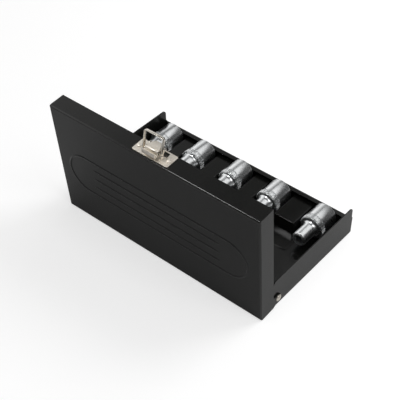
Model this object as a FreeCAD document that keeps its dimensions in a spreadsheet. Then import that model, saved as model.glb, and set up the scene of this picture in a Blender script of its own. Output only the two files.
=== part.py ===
"""Hinged sheet-steel case with five star-end sockets lying in its tray.

The case is a tray, a lid that swings on two rivets, and a toggle latch. The origin is the middle of the
tray's underside, +Z is up, +X runs along the case and +Y points to the latch side. Everything that the
lid carries is drawn with the lid shut and then swung open about the hinge rivets.
"""

import FreeCAD, Part
import Sketcher
import math
import os
import re

doc = FreeCAD.newDocument("SocketCase")

# ------------------------------------------------------------------ driving dimensions, mm and degrees

SIZES = {
    # lid: folded pan, its skirt is the depth of the folded sides
    "lidLength": "195",
    "lidDepth": "106.4",
    "lidSkirt": "14.7",
    "sheet": "0.8",
    "lidGap": "0.3",
    "lidRoom": "1.3",
    "bendOuter": "1.3",
    "bendInner": "0.5",
    "lidOpening": "95",
    # tray: tall sides, low front with a lip turned inwards, plain rear
    "sideHeight": "27.1",
    "frontHeight": "15.2",
    "rearHeight": "22",
    "lipDepth": "4.8",
    "sideRound": "2.6",
    "swingGap": "0.35",
    "stopGap": "0.2",
    # hinge rivets
    "hingeInset": "6.8",
    "hingeHeight": "8.8",
    "earRadius": "6.3",
    "earFillet": "2",
    "rivetRadius": "1.5",
    "rivetHeadRadius": "2.8",
    "rivetHeadHeight": "1.1",
    "rivetTailRadius": "2.4",
    "rivetTailHeight": "0.8",
    "runningGap": "0.05",
    "faceGap": "0.1",
    # pressed stiffening panel on the lid
    "panelLength": "174.6",
    "panelWidth": "38",
    "panelPlace": "-2.2",
    "beadWidth": "2.6",
    "beadRise": "0.5",
    "beadBevel": "0.4",
    "ribLength": "124",
    "ribPitch": "9",
    # holder: a plate on the tray floor with raised dividers on it
    "holderSetback": "2.5",
    "holderDepth": "47.3",
    "holderShort": "6.85",
    "holderGap": "0.6",
    "holderRound": "1.5",
    "dividerDepth": "28",
    "dividerHeight": "10.1",
    "dividerRound": "0.7",
    "dividerGap": "1.9",
    "dividerReach": "2.8",
    # sockets
    "socketLength": "38",
    "socketSetback": "4.5",
    "bodyRadius": "9.9",
    "bodyLength": "15.9",
    "ringRadius": "10.3",
    "ringLength": "4.6",
    "ringGrooves": "32",
    "grooveDepth": "0.3",
    "grooveHalf": "0.45",
    "shoulderRadius": "9.5",
    "shoulderLand": "0.6",
    "shoulderTaper": "35",
    "edgeBreak": "0.5",
    "driveSquare": "12.7",
    "driveDepth": "16",
    "boreRadius": "3.2",
    "starDepth": "11",
    "starPoints": "6",
    "seatGap": "0.3",
    # latch plate and its rivets
    "latchSheet": "0.8",
    "latchGap": "0.3",
    "plateLength": "33",
    "plateHeight": "12.5",
    "plateDrop": "1.9",
    "plateRound": "1.2",
    "earWidth": "4.2",
    "earWindow": "4.9",
    "latchRivetPitch": "27.4",
    "latchRivetDrop": "7.7",
    "latchRivetRadius": "1.25",
    "latchHeadRadius": "2.2",
    "latchHeadHeight": "1.1",
    "latchTailRadius": "1.9",
    "latchTailHeight": "0.7",
    # lever and its pin
    "leverWidth": "11.7",
    "leverTip": "5.8",
    "leverTop": "7",
    "leverTail": "13.4",
    "leverTaper": "7.6",
    "gripStart": "1.3",
    "gripSlot": "2.4",
    "gripDepth": "4.4",
    "gripRound": "0.6",
    "cheekMargin": "1.3",
    "pivotMargin": "1.9",
    "pivotDrop": "11.2",
    "pivotOut": "3.6",
    "pinRadius": "0.8",
    "pinHeadRadius": "1.35",
    "pinHeadHeight": "0.5",
    # bail
    "bailDrop": "6.2",
    "bailOut": "3.2",
    "bailReach": "14.4",
    "bailInside": "16.2",
    "bailFoot": "1.3",
    "strapWidth": "2.4",
    "strapBend": "1",
    "studRadius": "0.7",
    "bailLean": "73.8",
    # catch
    "barOut": "1.6",
    "catchLength": "26",
    "catchFoot": "1.8",
    "catchRivetPitch": "19",
    "catchRivetHeight": "5",
    "catchRivetRadius": "1.1",
    "catchHeadRadius": "1.9",
    "catchHeadHeight": "0.9",
    "catchTailRadius": "1.7",
    "catchTailHeight": "0.6",
    "hookLength": "12.4",
    "hookLip": "0.9",
    "hookGap": "0.25",
}

# each socket: its place as a share of the tray's half length, how far it has slid to the front, its neck,
# and its star opening and the lobes round that
SOCKETS = {
    "A": {"share": "-0.86", "ahead": "0", "neck": "8.2", "star": "5.6", "lobe": "1.3"},
    "B": {"share": "-0.486", "ahead": "0", "neck": "7.7", "star": "5.2", "lobe": "1.2"},
    "C": {"share": "-0.073", "ahead": "0", "neck": "7.2", "star": "4.8", "lobe": "1.1"},
    "D": {"share": "0.334", "ahead": "0", "neck": "6.7", "star": "4.4", "lobe": "1"},
    "E": {"share": "0.788", "ahead": "0.2", "neck": "6.1", "star": "3.9", "lobe": "0.9"},
}

rows = dict(SIZES)
for letter, values in SOCKETS.items():
    rows.update({f"{key}{letter}": value for key, value in values.items()})

sheet = doc.addObject("Spreadsheet::Sheet", "Sizes")
for row, (alias, value) in enumerate(rows.items(), 1):
    sheet.set(f"A{row}", alias)
    sheet.set(f"B{row}", value)
    sheet.setAlias(f"B{row}", alias)
doc.recompute()

# --------------------------------------------------------------------------- helpers

places = doc.addObject("App::VarSet", "Places")
derived = set()


def link(text):
    """An expression in plain names, with each name tied to its cell or to its worked-out place."""

    def owner(match):
        word = match[0]
        if word in rows:
            return f"Sizes.{word}"
        return f"Places.{word}" if word in derived else word

    return re.sub(r"[A-Za-z_]\w*", owner, text)


def number(text):
    """What an expression comes to now."""
    value = places.evalExpression(link(text))
    return float(getattr(value, "Value", value))


def derive(name, text):
    """Holds a place that follows from the sizes."""
    places.addProperty("App::PropertyFloat", name, "Places")
    places.setExpression(name, link(text))
    derived.add(name)
    doc.recompute()


def swing(name, text):
    """Holds a placement that follows from the sizes."""
    places.addProperty("App::PropertyPlacement", name, "Placements")
    places.setExpression(name, link(text))
    derived.add(name)
    doc.recompute()


def new_body(label, compound=False):
    body = doc.addObject("PartDesign::Body", label)
    body.Label = label
    body.AllowCompound = compound
    return body


def new_sketch(body, plane, level="0"):
    """A sketch on one of the body's own planes, moved along that plane's normal to level."""
    sketch = body.newObject("Sketcher::SketchObject", f"{body.Label}_profile")
    support = [part for part in body.Origin.OriginFeatures if part.Role == plane][0]
    sketch.AttachmentSupport = [(support, "")]
    sketch.MapMode = "FlatFace"
    sketch.setExpression("AttachmentOffset.Base.z", link(level))
    return sketch


def pin_down(sketch, geometry, point, x, y):
    """Ties one point of a sketch to its two coordinates."""
    for kind, text in (("DistanceX", x), ("DistanceY", y)):
        index = sketch.addConstraint(Sketcher.Constraint(kind, -1, 1, geometry, point, number(text)))
        sketch.setExpression(f"Constraints[{index}]", link(text))


def outline(sketch, corners):
    """A closed line through the corners. A corner (x, y, radius) starts an arc that turns left on its
    way to the next corner, or right where radius starts with a minus sign."""
    spots = [FreeCAD.Vector(number(corner[0]), number(corner[1]), 0) for corner in corners]
    first = len(sketch.Geometry)
    ends = []
    for start, end, corner in zip(spots, spots[1:] + spots[:1], corners):
        if len(corner) == 2:
            sketch.addGeometry(Part.LineSegment(start, end), False)
            ends.append((1, 2))
            continue
        radius = number(corner[2])
        chord = end - start
        left = FreeCAD.Vector(-chord.y, chord.x, 0).normalize()
        rise = math.sqrt(max(radius**2 - (chord.Length / 2) ** 2, 0))
        middle = (start + end) / 2 - left * math.copysign(abs(radius) - rise, radius)
        if radius > 0:
            sketch.addGeometry(Part.Arc(start, middle, end), False)
            ends.append((1, 2))
        else:
            sketch.addGeometry(Part.Arc(end, middle, start), False)
            ends.append((2, 1))
    for index, (corner, (start, end)) in enumerate(zip(corners, ends)):
        after = (index + 1) % len(corners)
        meeting = (first + index, end, first + after, ends[after][0])
        sketch.addConstraint(Sketcher.Constraint("Coincident", *meeting))
        pin_down(sketch, first + index, start, corner[0], corner[1])
        if len(corner) > 2:
            size = corner[2].lstrip("-")
            rule = sketch.addConstraint(Sketcher.Constraint("Radius", first + index, number(size)))
            sketch.setExpression(f"Constraints[{rule}]", link(size))
    return sketch


def box_outline(sketch, left, right, low, high):
    return outline(sketch, [(left, low), (right, low), (right, high), (left, high)])


def ring_outline(sketch, x, y, radius):
    index = sketch.addGeometry(Part.Circle(FreeCAD.Vector(), FreeCAD.Vector(0, 0, 1), 1), False)
    rule = sketch.addConstraint(Sketcher.Constraint("Radius", index, number(radius)))
    sketch.setExpression(f"Constraints[{rule}]", link(radius))
    pin_down(sketch, index, 3, x, y)
    return sketch


def settle(feature):
    """Works the feature out, and stops where it fails."""
    doc.recompute()
    assert "Invalid" not in feature.State and not feature.Shape.isNull(), f"{feature.Label} fails"
    return feature


def pad(body, sketch, length, both=False, back=False):
    """Material along the sketch's normal, to both sides of it or to the back of it where asked."""
    feature = body.newObject("PartDesign::Pad", f"{body.Label}_pad")
    feature.Profile = sketch
    feature.Midplane = both
    feature.Reversed = back
    feature.setExpression("Length", link(length))
    return settle(feature)


def pocket(body, sketch, length, both=False, back=False):
    """A cut along the sketch's normal, which has to take something away."""
    before = body.Tip.Shape.Volume
    feature = body.newObject("PartDesign::Pocket", f"{body.Label}_pocket")
    feature.Profile = sketch
    feature.Midplane = both
    feature.Reversed = not back
    feature.setExpression("Length", link(length))
    settle(feature)
    assert feature.Shape.Volume < before, f"{feature.Label} cuts nothing"
    return feature


def axis_line(sketch, x, y, across, along):
    """A construction line through a point of the sketch, to turn the profile about."""
    start = FreeCAD.Vector(number(x), number(y), 0)
    index = sketch.addGeometry(Part.LineSegment(start, start + FreeCAD.Vector(across, along, 0)), True)
    pin_down(sketch, index, 1, x, y)
    pin_down(sketch, index, 2, f"{x} + {across}", f"{y} + {along}")
    return "Axis0"


def turn(body, sketch, axis):
    """A full turn about one of the sketch's own axes."""
    feature = body.newObject("PartDesign::Revolution", f"{body.Label}_turn")
    feature.Profile = sketch
    feature.ReferenceAxis = (sketch, [axis])
    feature.Angle = 360
    return settle(feature)


def around(body, feature, axis, count):
    """Copies of a feature round one of the body's own axes."""
    pattern = body.newObject("PartDesign::PolarPattern", f"{body.Label}_pattern")
    pattern.Originals = [feature]
    line = [part for part in body.Origin.OriginFeatures if part.Role == axis][0]
    pattern.Axis = (line, [""])
    pattern.Angle = 360
    pattern.setExpression("Occurrences", link(count))
    body.Tip = pattern
    return settle(pattern)


def mirror(body, features, plane="YZ_Plane"):
    """The same features on the other side of one of the body's own planes."""
    copy = body.newObject("PartDesign::Mirrored", f"{body.Label}_mirror")
    copy.Originals = features
    support = [part for part in body.Origin.OriginFeatures if part.Role == plane][0]
    copy.MirrorPlane = (support, [""])
    body.Tip = copy
    return settle(copy)


def line_at(axis, **at):
    """A test for straight edges along axis whose middle has the coordinates given."""

    def test(edge):
        if edge.Curve.TypeId != "Part::GeomLine":
            return False
        if edge.tangentAt(edge.FirstParameter).cross(WAYS[axis]).Length > TOUCH:
            return False
        middle = edge.CenterOfMass
        return all(min(abs(getattr(middle, k) - spot) for spot in v) < TOUCH for k, v in at.items())

    return test


WAYS = {
    "x": FreeCAD.Vector(1, 0, 0),
    "y": FreeCAD.Vector(0, 1, 0),
    "z": FreeCAD.Vector(0, 0, 1),
}
TOUCH = 1e-4


def dress(body, kind, size, value, tests):
    """Rounds or bevels the edges of the body's tip that meet any of the tests."""
    base = body.Tip
    names = [
        f"Edge{index}"
        for index, edge in enumerate(base.Shape.Edges, 1)
        if any(test(edge) for test in tests)
    ]
    assert names, f"{body.Label} has no such edge"
    feature = body.newObject(f"PartDesign::{kind}", f"{body.Label}_{kind.lower()}")
    feature.Base = (base, names)
    feature.setExpression(size, link(value))
    return settle(feature)


def fillet(body, radius, *tests):
    return dress(body, "Fillet", "Radius", radius, tests)


def bevel(body, size, *tests):
    return dress(body, "Chamfer", "Size", size, tests)


def both(text):
    """A coordinate and its mirror image."""
    return (number(text), -number(text))


# --------------------------------------------------------------------------- worked-out places

# the tray fits inside the lid's skirt, and both are centred on the origin
derive("trayLength", "lidLength - 2 * (sheet + lidGap)")
derive("trayDepth", "lidDepth - 2 * (sheet + lidGap)")
derive("traySide", "trayLength / 2")
derive("trayFront", "trayDepth / 2")
derive("roomSide", "traySide - sheet")
derive("roomFront", "trayFront - sheet")
derive("holderFront", "roomFront - holderSetback")
derive("socketFront", "roomFront - socketSetback")
for letter in SOCKETS:
    derive(f"place{letter}", f"share{letter} * roomSide")
derive("holderRight", "placeE - holderShort")
derive("lidSide", "lidLength / 2")
derive("lidFront", "lidDepth / 2")
derive("lidTop", "sideHeight + lidRoom + sheet")
derive("skirtFoot", "lidTop - lidSkirt")
derive("hingeY", "hingeInset - lidFront")

# the lid's rear skirt is just long enough to meet the tray's rear wall when the lid is open
derive("openSine", "sin(lidOpening * 1 deg)")
derive("openCosine", "cos(lidOpening * 1 deg)")
derive("rearReach", "(sheet - hingeInset) * openCosine")
derive("rearFoot", "hingeHeight + (hingeY + rearReach + trayFront + stopGap) / openSine")

# the tray's sides lean back so that the front skirt's lower edge swings past them
derive("swingRadius", "sqrt((lidFront - sheet - hingeY) ^ 2 + (skirtFoot - hingeHeight) ^ 2)")
derive("sideFront", "hingeY + sqrt((swingRadius - swingGap) ^ 2 - (sideHeight - hingeHeight) ^ 2)")

# the latch, measured out from the front skirt and down from the lid's top
derive("leverHalf", "leverWidth / 2")
derive("earIn", "leverHalf + latchGap")
derive("earOut", "earIn + latchSheet")
derive("pivotY", "lidFront + pivotOut")
derive("pivotZ", "lidTop - pivotDrop")
derive("bailY", "lidFront + bailOut")
derive("bailZ", "lidTop - bailDrop")
derive("bailHalf", "bailInside / 2")
derive("barSink", "sqrt(bailReach ^ 2 - (bailOut - barOut) ^ 2)")
derive("hookFace", "bailZ - barSink + latchSheet / 2 + hookGap")
derive("hookIn", "lidFront + barOut + strapWidth / 2 + latchGap")

# placements of what swings with the lid
turning = "rotation(vector(1; 0; 0); lidOpening)"
swing("lidOpen", f"placement(vector(0; 0; 0); {turning}; vector(0; hingeY; hingeHeight))")
swing("bailHung", "lidOpen * placement(vector(0; bailY; bailZ); rotation(vector(1; 0; 0); bailLean))")
swing("rivetOnRight", "placement(vector(0; hingeY; hingeHeight); rotation(vector(0; 0; 1); 0))")
swing("rivetOnLeft", "placement(vector(0; hingeY; hingeHeight); rotation(vector(0; 0; 1); 180))")


# --------------------------------------------------------------------------- tray


def base_tray():
    body = new_body("base_tray")
    side = new_sketch(body, "YZ_Plane")
    outline(
        side,
        [
            ("0 - trayFront", "0"),
            ("trayFront", "0"),
            ("trayFront", "frontHeight - bendOuter", "bendOuter"),
            ("trayFront - bendOuter", "frontHeight"),
            ("sideFront", "sideHeight"),
            ("0 - trayFront", "sideHeight"),
        ],
    )
    pad(body, side, "trayLength", both=True)
    tops = (number("sideFront"), -number("trayFront"))
    fillet(body, "sideRound", line_at("x", y=tops, z=(number("sideHeight"),)))
    room = new_sketch(body, "YZ_Plane")
    outline(
        room,
        [
            ("0 - roomFront", "sheet"),
            ("roomFront", "sheet"),
            ("roomFront", "frontHeight - sheet"),
            ("trayFront - lipDepth", "frontHeight - sheet"),
            ("trayFront - lipDepth", "frontHeight"),
            ("lidFront", "frontHeight"),
            ("lidFront", "lidTop"),
            ("0 - lidFront", "lidTop"),
            ("0 - lidFront", "rearHeight"),
            ("0 - roomFront", "rearHeight"),
        ],
    )
    pocket(body, room, "2 * roomSide", both=True)
    fillet(
        body,
        "bendOuter",
        line_at("x", y=both("trayFront"), z=(0,)),
        line_at("y", x=both("traySide"), z=(0,)),
    )
    fillet(
        body,
        "bendInner",
        line_at("x", y=both("roomFront"), z=(number("sheet"),)),
        line_at("y", x=both("roomSide"), z=(number("sheet"),)),
    )
    mitre = new_sketch(body, "XY_Plane", "frontHeight - 2 * sheet")
    outline(
        mitre,
        [
            ("roomSide - lipDepth - lidGap", "trayFront - lipDepth - sheet"),
            ("roomSide", "trayFront - lipDepth - sheet"),
            ("roomSide", "trayFront - bendOuter"),
            ("roomSide - lidGap", "trayFront - bendOuter"),
        ],
    )
    corner = pocket(body, mitre, "3 * sheet")
    mirror(body, [corner])
    holes = new_sketch(body, "YZ_Plane")
    ring_outline(holes, "hingeY", "hingeHeight", "rivetRadius")
    pocket(body, holes, "lidLength", both=True)
    front = new_sketch(body, "XZ_Plane", "0 - trayFront")
    ring_outline(front, "catchRivetPitch / 2", "catchRivetHeight", "catchRivetRadius")
    ring_outline(front, "0 - catchRivetPitch / 2", "catchRivetHeight", "catchRivetRadius")
    pocket(body, front, "2 * bendOuter", both=True)
    return body


def hinge_rivet(label, place):
    """Tail inside the tray wall, shank through both walls, domed head outside the lid."""
    body = new_body(label)
    profile = new_sketch(body, "XY_Plane")
    head = "(lidSide + faceGap)"
    dome = "((rivetHeadRadius ^ 2 + rivetHeadHeight ^ 2) / (2 * rivetHeadHeight))"
    tail = "(roomSide - rivetTailHeight)"
    outline(
        profile,
        [
            (tail, "0"),
            (f"{head} + rivetHeadHeight", "0", dome),
            (head, "rivetHeadRadius"),
            (head, "rivetRadius"),
            ("roomSide", "rivetRadius"),
            ("roomSide", "rivetTailRadius"),
            (tail, "rivetTailRadius"),
        ],
    )
    turn(body, profile, "H_Axis")
    body.setExpression("Placement", link(place))
    return body


# --------------------------------------------------------------------------- lid and its latch plate


def lid():
    body = new_body("lid")
    side = new_sketch(body, "YZ_Plane")
    outline(
        side,
        [
            ("0 - lidFront", "rearFoot"),
            ("hingeY - earRadius", "hingeHeight", "earRadius"),
            ("hingeY", "hingeHeight - earRadius", "earRadius"),
            ("hingeY + earRadius", "hingeHeight"),
            ("hingeY + earRadius", "skirtFoot"),
            ("lidFront", "skirtFoot"),
            ("lidFront", "lidTop"),
            ("0 - lidFront", "lidTop"),
        ],
    )
    pad(body, side, "lidLength", both=True)
    fillet(
        body, "earFillet", line_at("x", y=(number("hingeY + earRadius"),), z=(number("skirtFoot"),))
    )
    room = new_sketch(body, "YZ_Plane")
    outline(
        room,
        [
            ("0 - lidDepth", "0 - lidTop"),
            ("lidFront - sheet", "0 - lidTop"),
            ("lidFront - sheet", "lidTop - sheet"),
            ("sheet - lidFront", "lidTop - sheet"),
            ("sheet - lidFront", "rearFoot"),
            ("0 - lidDepth", "rearFoot"),
        ],
    )
    pocket(body, room, "lidLength - 2 * sheet", both=True)
    fillet(
        body,
        "bendOuter",
        line_at("x", y=both("lidFront"), z=(number("lidTop"),)),
        line_at("y", x=both("lidSide"), z=(number("lidTop"),)),
    )
    fillet(
        body,
        "bendInner",
        line_at("x", y=both("lidFront - sheet"), z=(number("lidTop - sheet"),)),
        line_at("y", x=both("lidSide - sheet"), z=(number("lidTop - sheet"),)),
    )
    pressed_panel(body)
    holes = new_sketch(body, "YZ_Plane")
    ring_outline(holes, "hingeY", "hingeHeight", "rivetRadius + runningGap")
    pocket(body, holes, "2 * lidLength", both=True)
    front = new_sketch(body, "XZ_Plane", "0 - lidFront")
    ring_outline(front, "latchRivetPitch / 2", "lidTop - latchRivetDrop", "latchRivetRadius")
    ring_outline(front, "0 - latchRivetPitch / 2", "lidTop - latchRivetDrop", "latchRivetRadius")
    pocket(body, front, "4 * sheet", both=True)
    body.setExpression("Placement", link("lidOpen"))
    return body


def stadium(sketch, length, width):
    """A rounded slot outline in the middle of the panel, its ends half circles."""
    straight = f"({length} - {width}) / 2"
    end = f"{width} / 2"
    return outline(
        sketch,
        [
            (f"0 - {straight}", f"panelPlace - {end}"),
            (straight, f"panelPlace - {end}", end),
            (f"{length} / 2", "panelPlace", end),
            (straight, f"panelPlace + {end}"),
            (f"0 - {straight}", f"panelPlace + {end}", end),
            (f"0 - {length} / 2", "panelPlace", end),
        ],
    )


def pressed_panel(body):
    """A raised ring and three raised ribs, pressed up from inside the lid."""
    beads = new_sketch(body, "XY_Plane", "lidTop")
    stadium(beads, "panelLength", "panelWidth")
    stadium(beads, "(panelLength - 2 * beadWidth)", "(panelWidth - 2 * beadWidth)")
    for step in ("0 - ribPitch", "0", "ribPitch"):
        low = f"panelPlace + {step} - beadWidth / 2"
        high = f"panelPlace + {step} + beadWidth / 2"
        box_outline(beads, "0 - ribLength / 2", "ribLength / 2", low, high)
    pad(body, beads, "beadRise")
    top = (number("lidTop + beadRise"),)
    bevel(body, "beadBevel", line_at("x", z=top), line_at("y", z=top))


def latch_plate():
    """The plate riveted on the front skirt, with two ears bent out of its windows."""
    body = new_body("latch_plate")
    face = new_sketch(body, "XZ_Plane", "0 - lidFront")
    top = "(lidTop - plateDrop)"
    box_outline(face, "0 - plateLength / 2", "plateLength / 2", f"{top} - plateHeight", top)
    box_outline(face, "earIn", "earIn + earWindow", "pivotZ - earWidth / 2", "pivotZ + earWidth / 2")
    box_outline(
        face, "0 - earIn - earWindow", "0 - earIn", "pivotZ - earWidth / 2", "pivotZ + earWidth / 2"
    )
    ring_outline(face, "latchRivetPitch / 2", "lidTop - latchRivetDrop", "latchRivetRadius")
    ring_outline(face, "0 - latchRivetPitch / 2", "lidTop - latchRivetDrop", "latchRivetRadius")
    pad(body, face, "latchSheet", back=True)
    ends = (number(top), number(f"{top} - plateHeight"))
    fillet(body, "plateRound", line_at("y", x=both("plateLength / 2"), z=ends))
    ear = new_sketch(body, "YZ_Plane", "earIn")
    outline(
        ear,
        [
            ("lidFront", "pivotZ - earWidth / 2"),
            ("pivotY", "pivotZ - earWidth / 2", "earWidth / 2"),
            ("pivotY + earWidth / 2", "pivotZ", "earWidth / 2"),
            ("pivotY", "pivotZ + earWidth / 2"),
            ("lidFront", "pivotZ + earWidth / 2"),
        ],
    )
    ring_outline(ear, "pivotY", "pivotZ", "pinRadius")
    one = pad(body, ear, "latchSheet")
    mirror(body, [one])
    body.setExpression("Placement", link("lidOpen"))
    return body


def rivet_pair(label, pitch, height, base, grip, sizes, placement=None):
    """Two rivets side by side, heads to the front, tails clenched behind the sheet."""
    radius, head, rise, tail, drop = sizes
    body = new_body(label, compound=True)
    profile = new_sketch(body, "XY_Plane", height)
    axis = f"({pitch} / 2)"
    front = f"({base} + {grip})"
    behind = f"({base} - sheet)"
    outline(
        profile,
        [
            (axis, f"{behind} - {drop}"),
            (f"{axis} + {tail}", f"{behind} - {drop}"),
            (f"{axis} + {tail}", behind),
            (f"{axis} + {radius}", behind),
            (f"{axis} + {radius}", front),
            (f"{axis} + {head}", front),
            (f"{axis} + {head}", f"{front} + {rise} / 3"),
            (f"{axis} + {head} / 2", f"{front} + {rise}"),
            (axis, f"{front} + {rise}"),
        ],
    )
    one = turn(body, profile, axis_line(profile, axis, "0", 0, 1))
    mirror(body, [one])
    if placement:
        body.setExpression("Placement", link(placement))
    return body


# --------------------------------------------------------------------------- lever, its pin and the bail


def latch_lever():
    """A trough for the thumb at the upper end, then a flat tongue that narrows to the lower end."""
    body = new_body("latch_lever")
    ribbon = new_sketch(body, "YZ_Plane")
    face = "(lidFront + leverTop)"
    outer = "(lidTop - gripStart)"
    outline(
        ribbon,
        [
            (f"{face} - gripDepth", f"{outer} - gripSlot - 2 * latchSheet"),
            (f"{face} - latchSheet", f"{outer} - gripSlot - 2 * latchSheet"),
            (f"{face} - latchSheet", "lidTop - leverTail"),
            (face, "lidTop - leverTail"),
            (face, f"{outer} - gripSlot - latchSheet"),
            (f"{face} - gripDepth + latchSheet", f"{outer} - gripSlot - latchSheet"),
            (f"{face} - gripDepth + latchSheet", f"{outer} - latchSheet"),
            (face, f"{outer} - latchSheet"),
            (face, outer),
            (f"{face} - gripDepth", outer),
        ],
    )
    pad(body, ribbon, "leverWidth", both=True)
    bends = line_at(
        "x",
        y=(number(f"{face} - gripDepth"),),
        z=(number(outer), number(f"{outer} - gripSlot - 2 * latchSheet")),
    )
    shoulder = line_at("x", y=(number(face),), z=(number(f"{outer} - gripSlot - latchSheet"),))
    fillet(body, "gripRound", bends, shoulder)
    taper = new_sketch(body, "XZ_Plane", f"0 - {face}")
    outline(
        taper,
        [
            ("leverHalf", "lidTop - leverTaper"),
            ("leverTip / 2", "lidTop - leverTail"),
            ("leverTip / 2", "lidTop - leverTail - latchSheet"),
            ("leverHalf + latchSheet", "lidTop - leverTail - latchSheet"),
            ("leverHalf + latchSheet", "lidTop - leverTaper"),
        ],
    )
    side = pocket(body, taper, "4 * latchSheet", both=True)
    mirror(body, [side])
    cheek = new_sketch(body, "YZ_Plane", "leverHalf - latchSheet")
    outline(
        cheek,
        [
            (f"{face} - latchSheet", "lidTop - leverTaper"),
            (f"{face} - latchSheet", "bailZ + cheekMargin"),
            ("bailY", "bailZ + cheekMargin", "cheekMargin"),
            ("bailY - cheekMargin", "bailZ"),
            ("pivotY - pivotMargin", "pivotZ", "pivotMargin"),
            ("pivotY", "pivotZ - pivotMargin", "pivotMargin"),
            ("pivotY + pivotMargin", "pivotZ"),
        ],
    )
    one = pad(body, cheek, "latchSheet")
    mirror(body, [one])
    holes = new_sketch(body, "YZ_Plane")
    ring_outline(holes, "pivotY", "pivotZ", "pinRadius + runningGap")
    ring_outline(holes, "bailY", "bailZ", "studRadius + runningGap")
    pocket(body, holes, "2 * leverWidth", both=True)
    body.setExpression("Placement", link("lidOpen"))
    return body


def lever_pin():
    """A pin through both ears of the latch plate, headed outside them."""
    body = new_body("lever_pin")
    profile = new_sketch(body, "XY_Plane", "pivotZ")
    end = "(earOut + pinHeadHeight)"
    outline(
        profile,
        [
            (f"0 - {end}", "pivotY"),
            (end, "pivotY"),
            (end, "pivotY + pinHeadRadius"),
            ("earOut", "pivotY + pinHeadRadius"),
            ("earOut", "pivotY + pinRadius"),
            ("0 - earOut", "pivotY + pinRadius"),
            ("0 - earOut", "pivotY + pinHeadRadius"),
            (f"0 - {end}", "pivotY + pinHeadRadius"),
        ],
    )
    turn(body, profile, axis_line(profile, "0", "pivotY", 1, 0))
    body.setExpression("Placement", link("lidOpen"))
    return body


def latch_bail():
    """A strap bent to a U with a stud inside each leg; drawn hanging down from its studs."""
    body = new_body("latch_bail")
    strap = new_sketch(body, "XZ_Plane")
    out = "(bailHalf + latchSheet)"
    outline(
        strap,
        [
            (f"0 - {out}", "0 - bailReach - latchSheet / 2"),
            (out, "0 - bailReach - latchSheet / 2"),
            (out, "bailFoot"),
            ("bailHalf", "bailFoot"),
            ("bailHalf", "latchSheet / 2 - bailReach"),
            ("0 - bailHalf", "latchSheet / 2 - bailReach"),
            ("0 - bailHalf", "bailFoot"),
            (f"0 - {out}", "bailFoot"),
        ],
    )
    pad(body, strap, "strapWidth", both=True)
    fillet(body, "strapBend", line_at("y", x=both(out), z=(number("0 - bailReach - latchSheet / 2"),)))
    inner = line_at("y", x=both("bailHalf"), z=(number("latchSheet / 2 - bailReach"),))
    fillet(body, "strapBend - latchSheet", inner)
    ends = line_at("x", y=both("strapWidth / 2"), z=(number("bailFoot"),))
    fillet(body, "strapWidth / 2 - faceGap", ends)
    stud = new_sketch(body, "YZ_Plane", "leverHalf - latchSheet - latchGap")
    ring_outline(stud, "0", "0", "studRadius")
    one = pad(body, stud, "bailHalf - leverHalf + latchSheet + latchGap")
    mirror(body, [one])
    body.setExpression("Placement", link("bailHung"))
    return body


# --------------------------------------------------------------------------- catch on the tray's front


def catch_plate():
    body = new_body("catch_plate")
    face = new_sketch(body, "XZ_Plane", "0 - trayFront")
    box_outline(face, "0 - catchLength / 2", "catchLength / 2", "catchFoot", "hookFace + latchSheet")
    ring_outline(face, "catchRivetPitch / 2", "catchRivetHeight", "catchRivetRadius")
    ring_outline(face, "0 - catchRivetPitch / 2", "catchRivetHeight", "catchRivetRadius")
    pad(body, face, "latchSheet", back=True)
    ends = (number("catchFoot"), number("hookFace + latchSheet"))
    fillet(body, "plateRound", line_at("y", x=both("catchLength / 2"), z=ends))
    hook = new_sketch(body, "YZ_Plane")
    outline(
        hook,
        [
            ("trayFront", "hookFace"),
            ("hookIn", "hookFace"),
            ("hookIn", "hookFace - hookLip"),
            ("hookIn + latchSheet", "hookFace - hookLip"),
            ("hookIn + latchSheet", "hookFace + latchSheet"),
            ("trayFront", "hookFace + latchSheet"),
        ],
    )
    pad(body, hook, "hookLength", both=True)
    bend = line_at("x", y=(number("hookIn + latchSheet"),), z=(number("hookFace + latchSheet"),))
    fillet(body, "gripRound", bend)
    return body


# --------------------------------------------------------------------------- holder and sockets


def holder_plate():
    body = new_body("holder_plate")
    plate = new_sketch(body, "XY_Plane", "sheet")
    low = "holderFront - holderDepth"
    box_outline(plate, "holderGap - roomSide", "holderRight", low, "holderFront")
    pad(body, plate, "sheet")
    ends = (number(low), number("holderFront"))
    fillet(body, "holderRound", line_at("z", x=(number("holderRight"),), y=ends))
    return body


def divider(count, before, after):
    """A cap pressed up between two sockets, open underneath."""
    body = new_body(f"divider_{count}")
    foot = new_sketch(body, "XY_Plane", "2 * sheet")
    left = f"(place{before} + ringRadius + dividerGap)"
    right = f"(place{after} - ringRadius - dividerReach)"
    back = "holderFront - dividerDepth"
    box_outline(foot, left, right, back, "holderFront")
    pad(body, foot, "dividerHeight")
    sides = (number(left), number(right))
    ends = (number(back), number("holderFront"))
    top = (number("2 * sheet + dividerHeight"),)
    fillet(
        body,
        "dividerRound",
        line_at("x", y=ends, z=top),
        line_at("y", x=sides, z=top),
        line_at("z", x=sides),
    )
    hollow = new_sketch(body, "XY_Plane", "2 * sheet")
    box_outline(hollow, f"{left} + sheet", f"{right} - sheet", f"{back} + sheet", "holderFront - sheet")
    pocket(body, hollow, "dividerHeight - sheet")
    return body


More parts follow.
